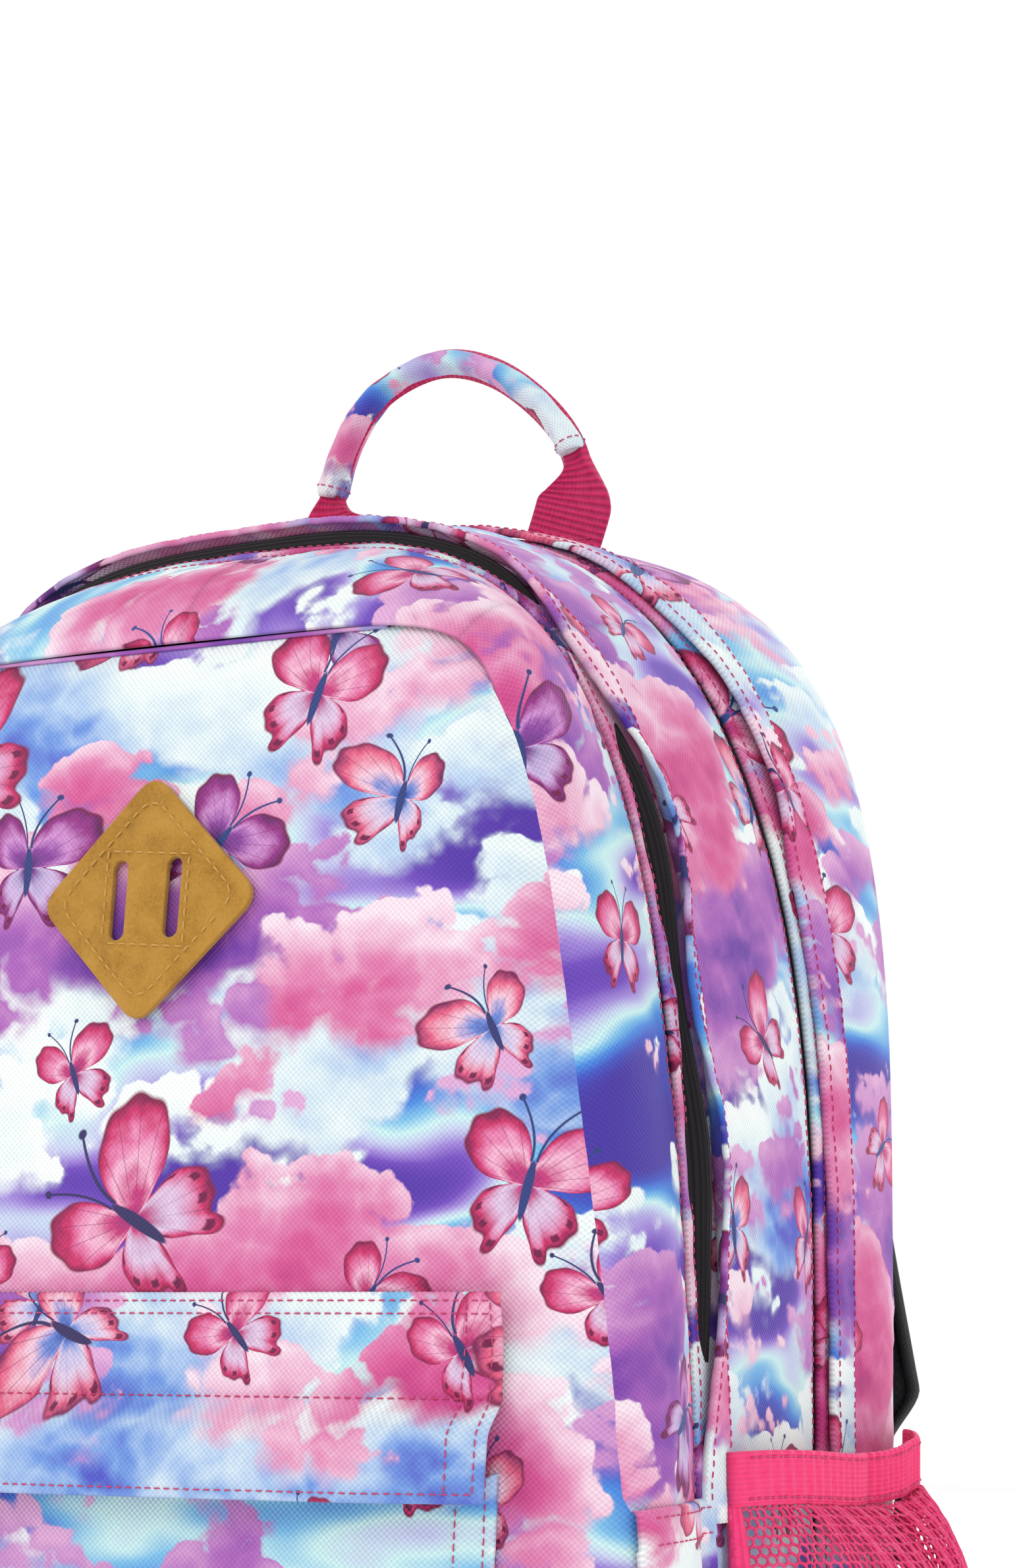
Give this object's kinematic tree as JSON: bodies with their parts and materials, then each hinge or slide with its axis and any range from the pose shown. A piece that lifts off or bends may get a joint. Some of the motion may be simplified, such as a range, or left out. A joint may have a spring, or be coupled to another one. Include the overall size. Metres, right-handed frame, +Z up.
{
  "type": "school backpack",
  "caption": "School backpack with zipped main and front compartments, a flap-covered front pocket, mesh bottle pockets, a haul handle, a diamond lash tab and padded shoulder straps.",
  "frame": {"origin": "the middle of the base panel's underside, on the floor", "axes": "+Z up, -Y the way the front panel faces, +Y towards the wearer's back, +X to the viewer's right when looking at the front"},
  "size_m": [0.3638, 0.2641, 0.5094],
  "materials": {
    "printed_polyester": "printed woven polyester",
    "lining": "plain woven lining",
    "black_cloth": "woven polyester and air mesh",
    "black_webbing": "ribbed webbing",
    "foam": "closed-cell foam",
    "zip_tape": "woven tape",
    "black_plastic": "moulded",
    "pink_mesh": "knitted hexagonal mesh",
    "pink_elastic": "ribbed elastic",
    "magenta_webbing": "ribbed webbing",
    "tan_tab": "suede",
    "base_board": "sheet",
    "zip_metal": "black painted die casting"
  },
  "bodies": {
    "bag": {"front_panel": "printed_polyester", "base_panel": "printed_polyester", "front_zip_gusset_right": "printed_polyester", "front_zip_gusset_left": "printed_polyester", "front_lower_gusset_right": "printed_polyester", "front_lower_gusset_left": "printed_polyester", "main_gusset": "printed_polyester", "rear_gusset": "printed_polyester", "front_storm_flap": "printed_polyester", "main_storm_flap": "printed_polyester", "pocket_panel": "printed_polyester", "pocket_hood": "printed_polyester", "divider_panel": "lining", "back_lining": "lining", "back_panel": "black_cloth", "back_piping": "black_cloth", "strap_yoke": "black_cloth", "strap_anchor_right": "black_cloth", "strap_anchor_left": "black_cloth", "back_foam": "foam", "front_zipper_tape": "zip_tape", "main_zipper_tape": "zip_tape", "pocket_zipper_tape": "zip_tape", "front_zipper_coil": "black_plastic", "main_zipper_coil": "black_plastic", "pocket_zipper_coil": "black_plastic", "mesh_pocket_right": "pink_mesh", "mesh_pocket_left": "pink_mesh", "pocket_elastic_right": "pink_elastic", "pocket_elastic_left": "pink_elastic", "lash_tab": "tan_tab", "base_board": "base_board"},
    "front_lid": {"front_mouth": "printed_polyester"},
    "main_lid": {"main_mouth": "printed_polyester"},
    "pocket_lid": {"pocket_flap": "printed_polyester"},
    "haul_handle": {"handle_webbing": "magenta_webbing", "handle_cover": "printed_polyester"},
    "strap_right": {"strap_cover_right": "black_cloth", "strap_foam_right": "foam", "strap_lining_right": "black_cloth", "strap_webbing_right": "black_webbing", "ladder_lock_right": "black_plastic"},
    "tail_right": {"strap_tail_right": "black_webbing"},
    "strap_left": {"strap_cover_left": "black_cloth", "strap_foam_left": "foam", "strap_lining_left": "black_cloth", "strap_webbing_left": "black_webbing", "ladder_lock_left": "black_plastic"},
    "tail_left": {"strap_tail_left": "black_webbing"},
    "front_zip_slider_body": {"front_zip_slider": "zip_metal"},
    "front_zip_pull_body": {"front_zip_pull": "zip_metal"},
    "main_zip_upper_slider_body": {"main_zip_upper_slider": "zip_metal"},
    "main_zip_upper_pull_body": {"main_zip_upper_pull": "zip_metal"},
    "main_zip_lower_slider_body": {"main_zip_lower_slider": "zip_metal"},
    "main_zip_lower_pull_body": {"main_zip_lower_pull": "zip_metal"},
    "pocket_zip_slider_body": {"pocket_zip_slider": "zip_metal", "pocket_zip_pull": "zip_metal"}
  },
  "joints": [
    {"name": "front_lid_fold", "type": "hinge", "parent": "bag", "child": "front_lid", "pos_m": [0, -0.0727, 0.393], "axis": [1, 0, 0], "range_deg": [0, 80]},
    {"name": "main_lid_fold", "type": "hinge", "parent": "bag", "child": "main_lid", "pos_m": [0, -0.0143, 0.4279], "axis": [1, 0, 0], "range_deg": [0, 75]},
    {"name": "pocket_lid_fold", "type": "hinge", "parent": "bag", "child": "pocket_lid", "pos_m": [0, -0.1133, 0.1921], "axis": [-1, 0, 0], "range_deg": [0, 60]},
    {"name": "handle_fold", "type": "hinge", "parent": "bag", "child": "haul_handle", "pos_m": [0, 0.095, 0.4425], "axis": [1, 0, 0], "range_deg": [-75, 75]},
    {"name": "strap_swing_right", "type": "hinge", "parent": "bag", "child": "strap_right", "pos_m": [0.052, 0.1054, 0.404], "axis": [-0.191, -0.0016, 0.9816], "range_deg": [-9, 20]},
    {"name": "tail_swing_right", "type": "hinge", "parent": "strap_right", "child": "tail_right", "pos_m": [0.1215, 0.11825, 0.149], "axis": [1, 0, 0], "range_deg": [-4, 60]},
    {"name": "strap_swing_left", "type": "hinge", "parent": "bag", "child": "strap_left", "pos_m": [-0.052, 0.1054, 0.404], "axis": [0.191, -0.0016, 0.9816], "range_deg": [-20, 9]},
    {"name": "tail_swing_left", "type": "hinge", "parent": "strap_left", "child": "tail_left", "pos_m": [-0.1215, 0.11825, 0.149], "axis": [1, 0, 0], "range_deg": [-4, 60]},
    {"name": "front_zip_slide", "type": "slide", "parent": "bag", "child": "front_zip_slider_body", "axis": [0.096, 0.0843, 0.9918], "range_m": [-0.02, 0.03]},
    {"name": "front_zip_pull_turn", "type": "hinge", "parent": "front_zip_slider_body", "child": "front_zip_pull_body", "pos_m": [-0.13595, -0.04636, 0.23842], "axis": [-0.0909, 0.993, -0.0756], "range_deg": [0, 120]},
    {"name": "main_zip_upper_slide", "type": "slide", "parent": "bag", "child": "main_zip_upper_slider_body", "axis": [0.0797, 0, 0.9968], "range_m": [0, 0.03]},
    {"name": "main_zip_upper_pull_turn", "type": "hinge", "parent": "main_zip_upper_slider_body", "child": "main_zip_upper_pull_body", "pos_m": [-0.14132, 0.03322, 0.27025], "axis": [-0.114, 0.9934, 0.0091], "range_deg": [0, 120]},
    {"name": "main_zip_lower_slide", "type": "slide", "parent": "bag", "child": "main_zip_lower_slider_body", "axis": [0.013, 0, 0.9999], "range_m": [-0.02, 0.005]},
    {"name": "main_zip_lower_pull_turn", "type": "hinge", "parent": "main_zip_lower_slider_body", "child": "main_zip_lower_pull_body", "pos_m": [-0.14319, 0.03346, 0.22279], "axis": [-0.079, 0.9969, 0.001], "range_deg": [0, 120]},
    {"name": "pocket_zip_slide", "type": "slide", "parent": "bag", "child": "pocket_zip_slider_body", "axis": [1, 0, 0], "range_m": [0, 0.12]}
  ]
}
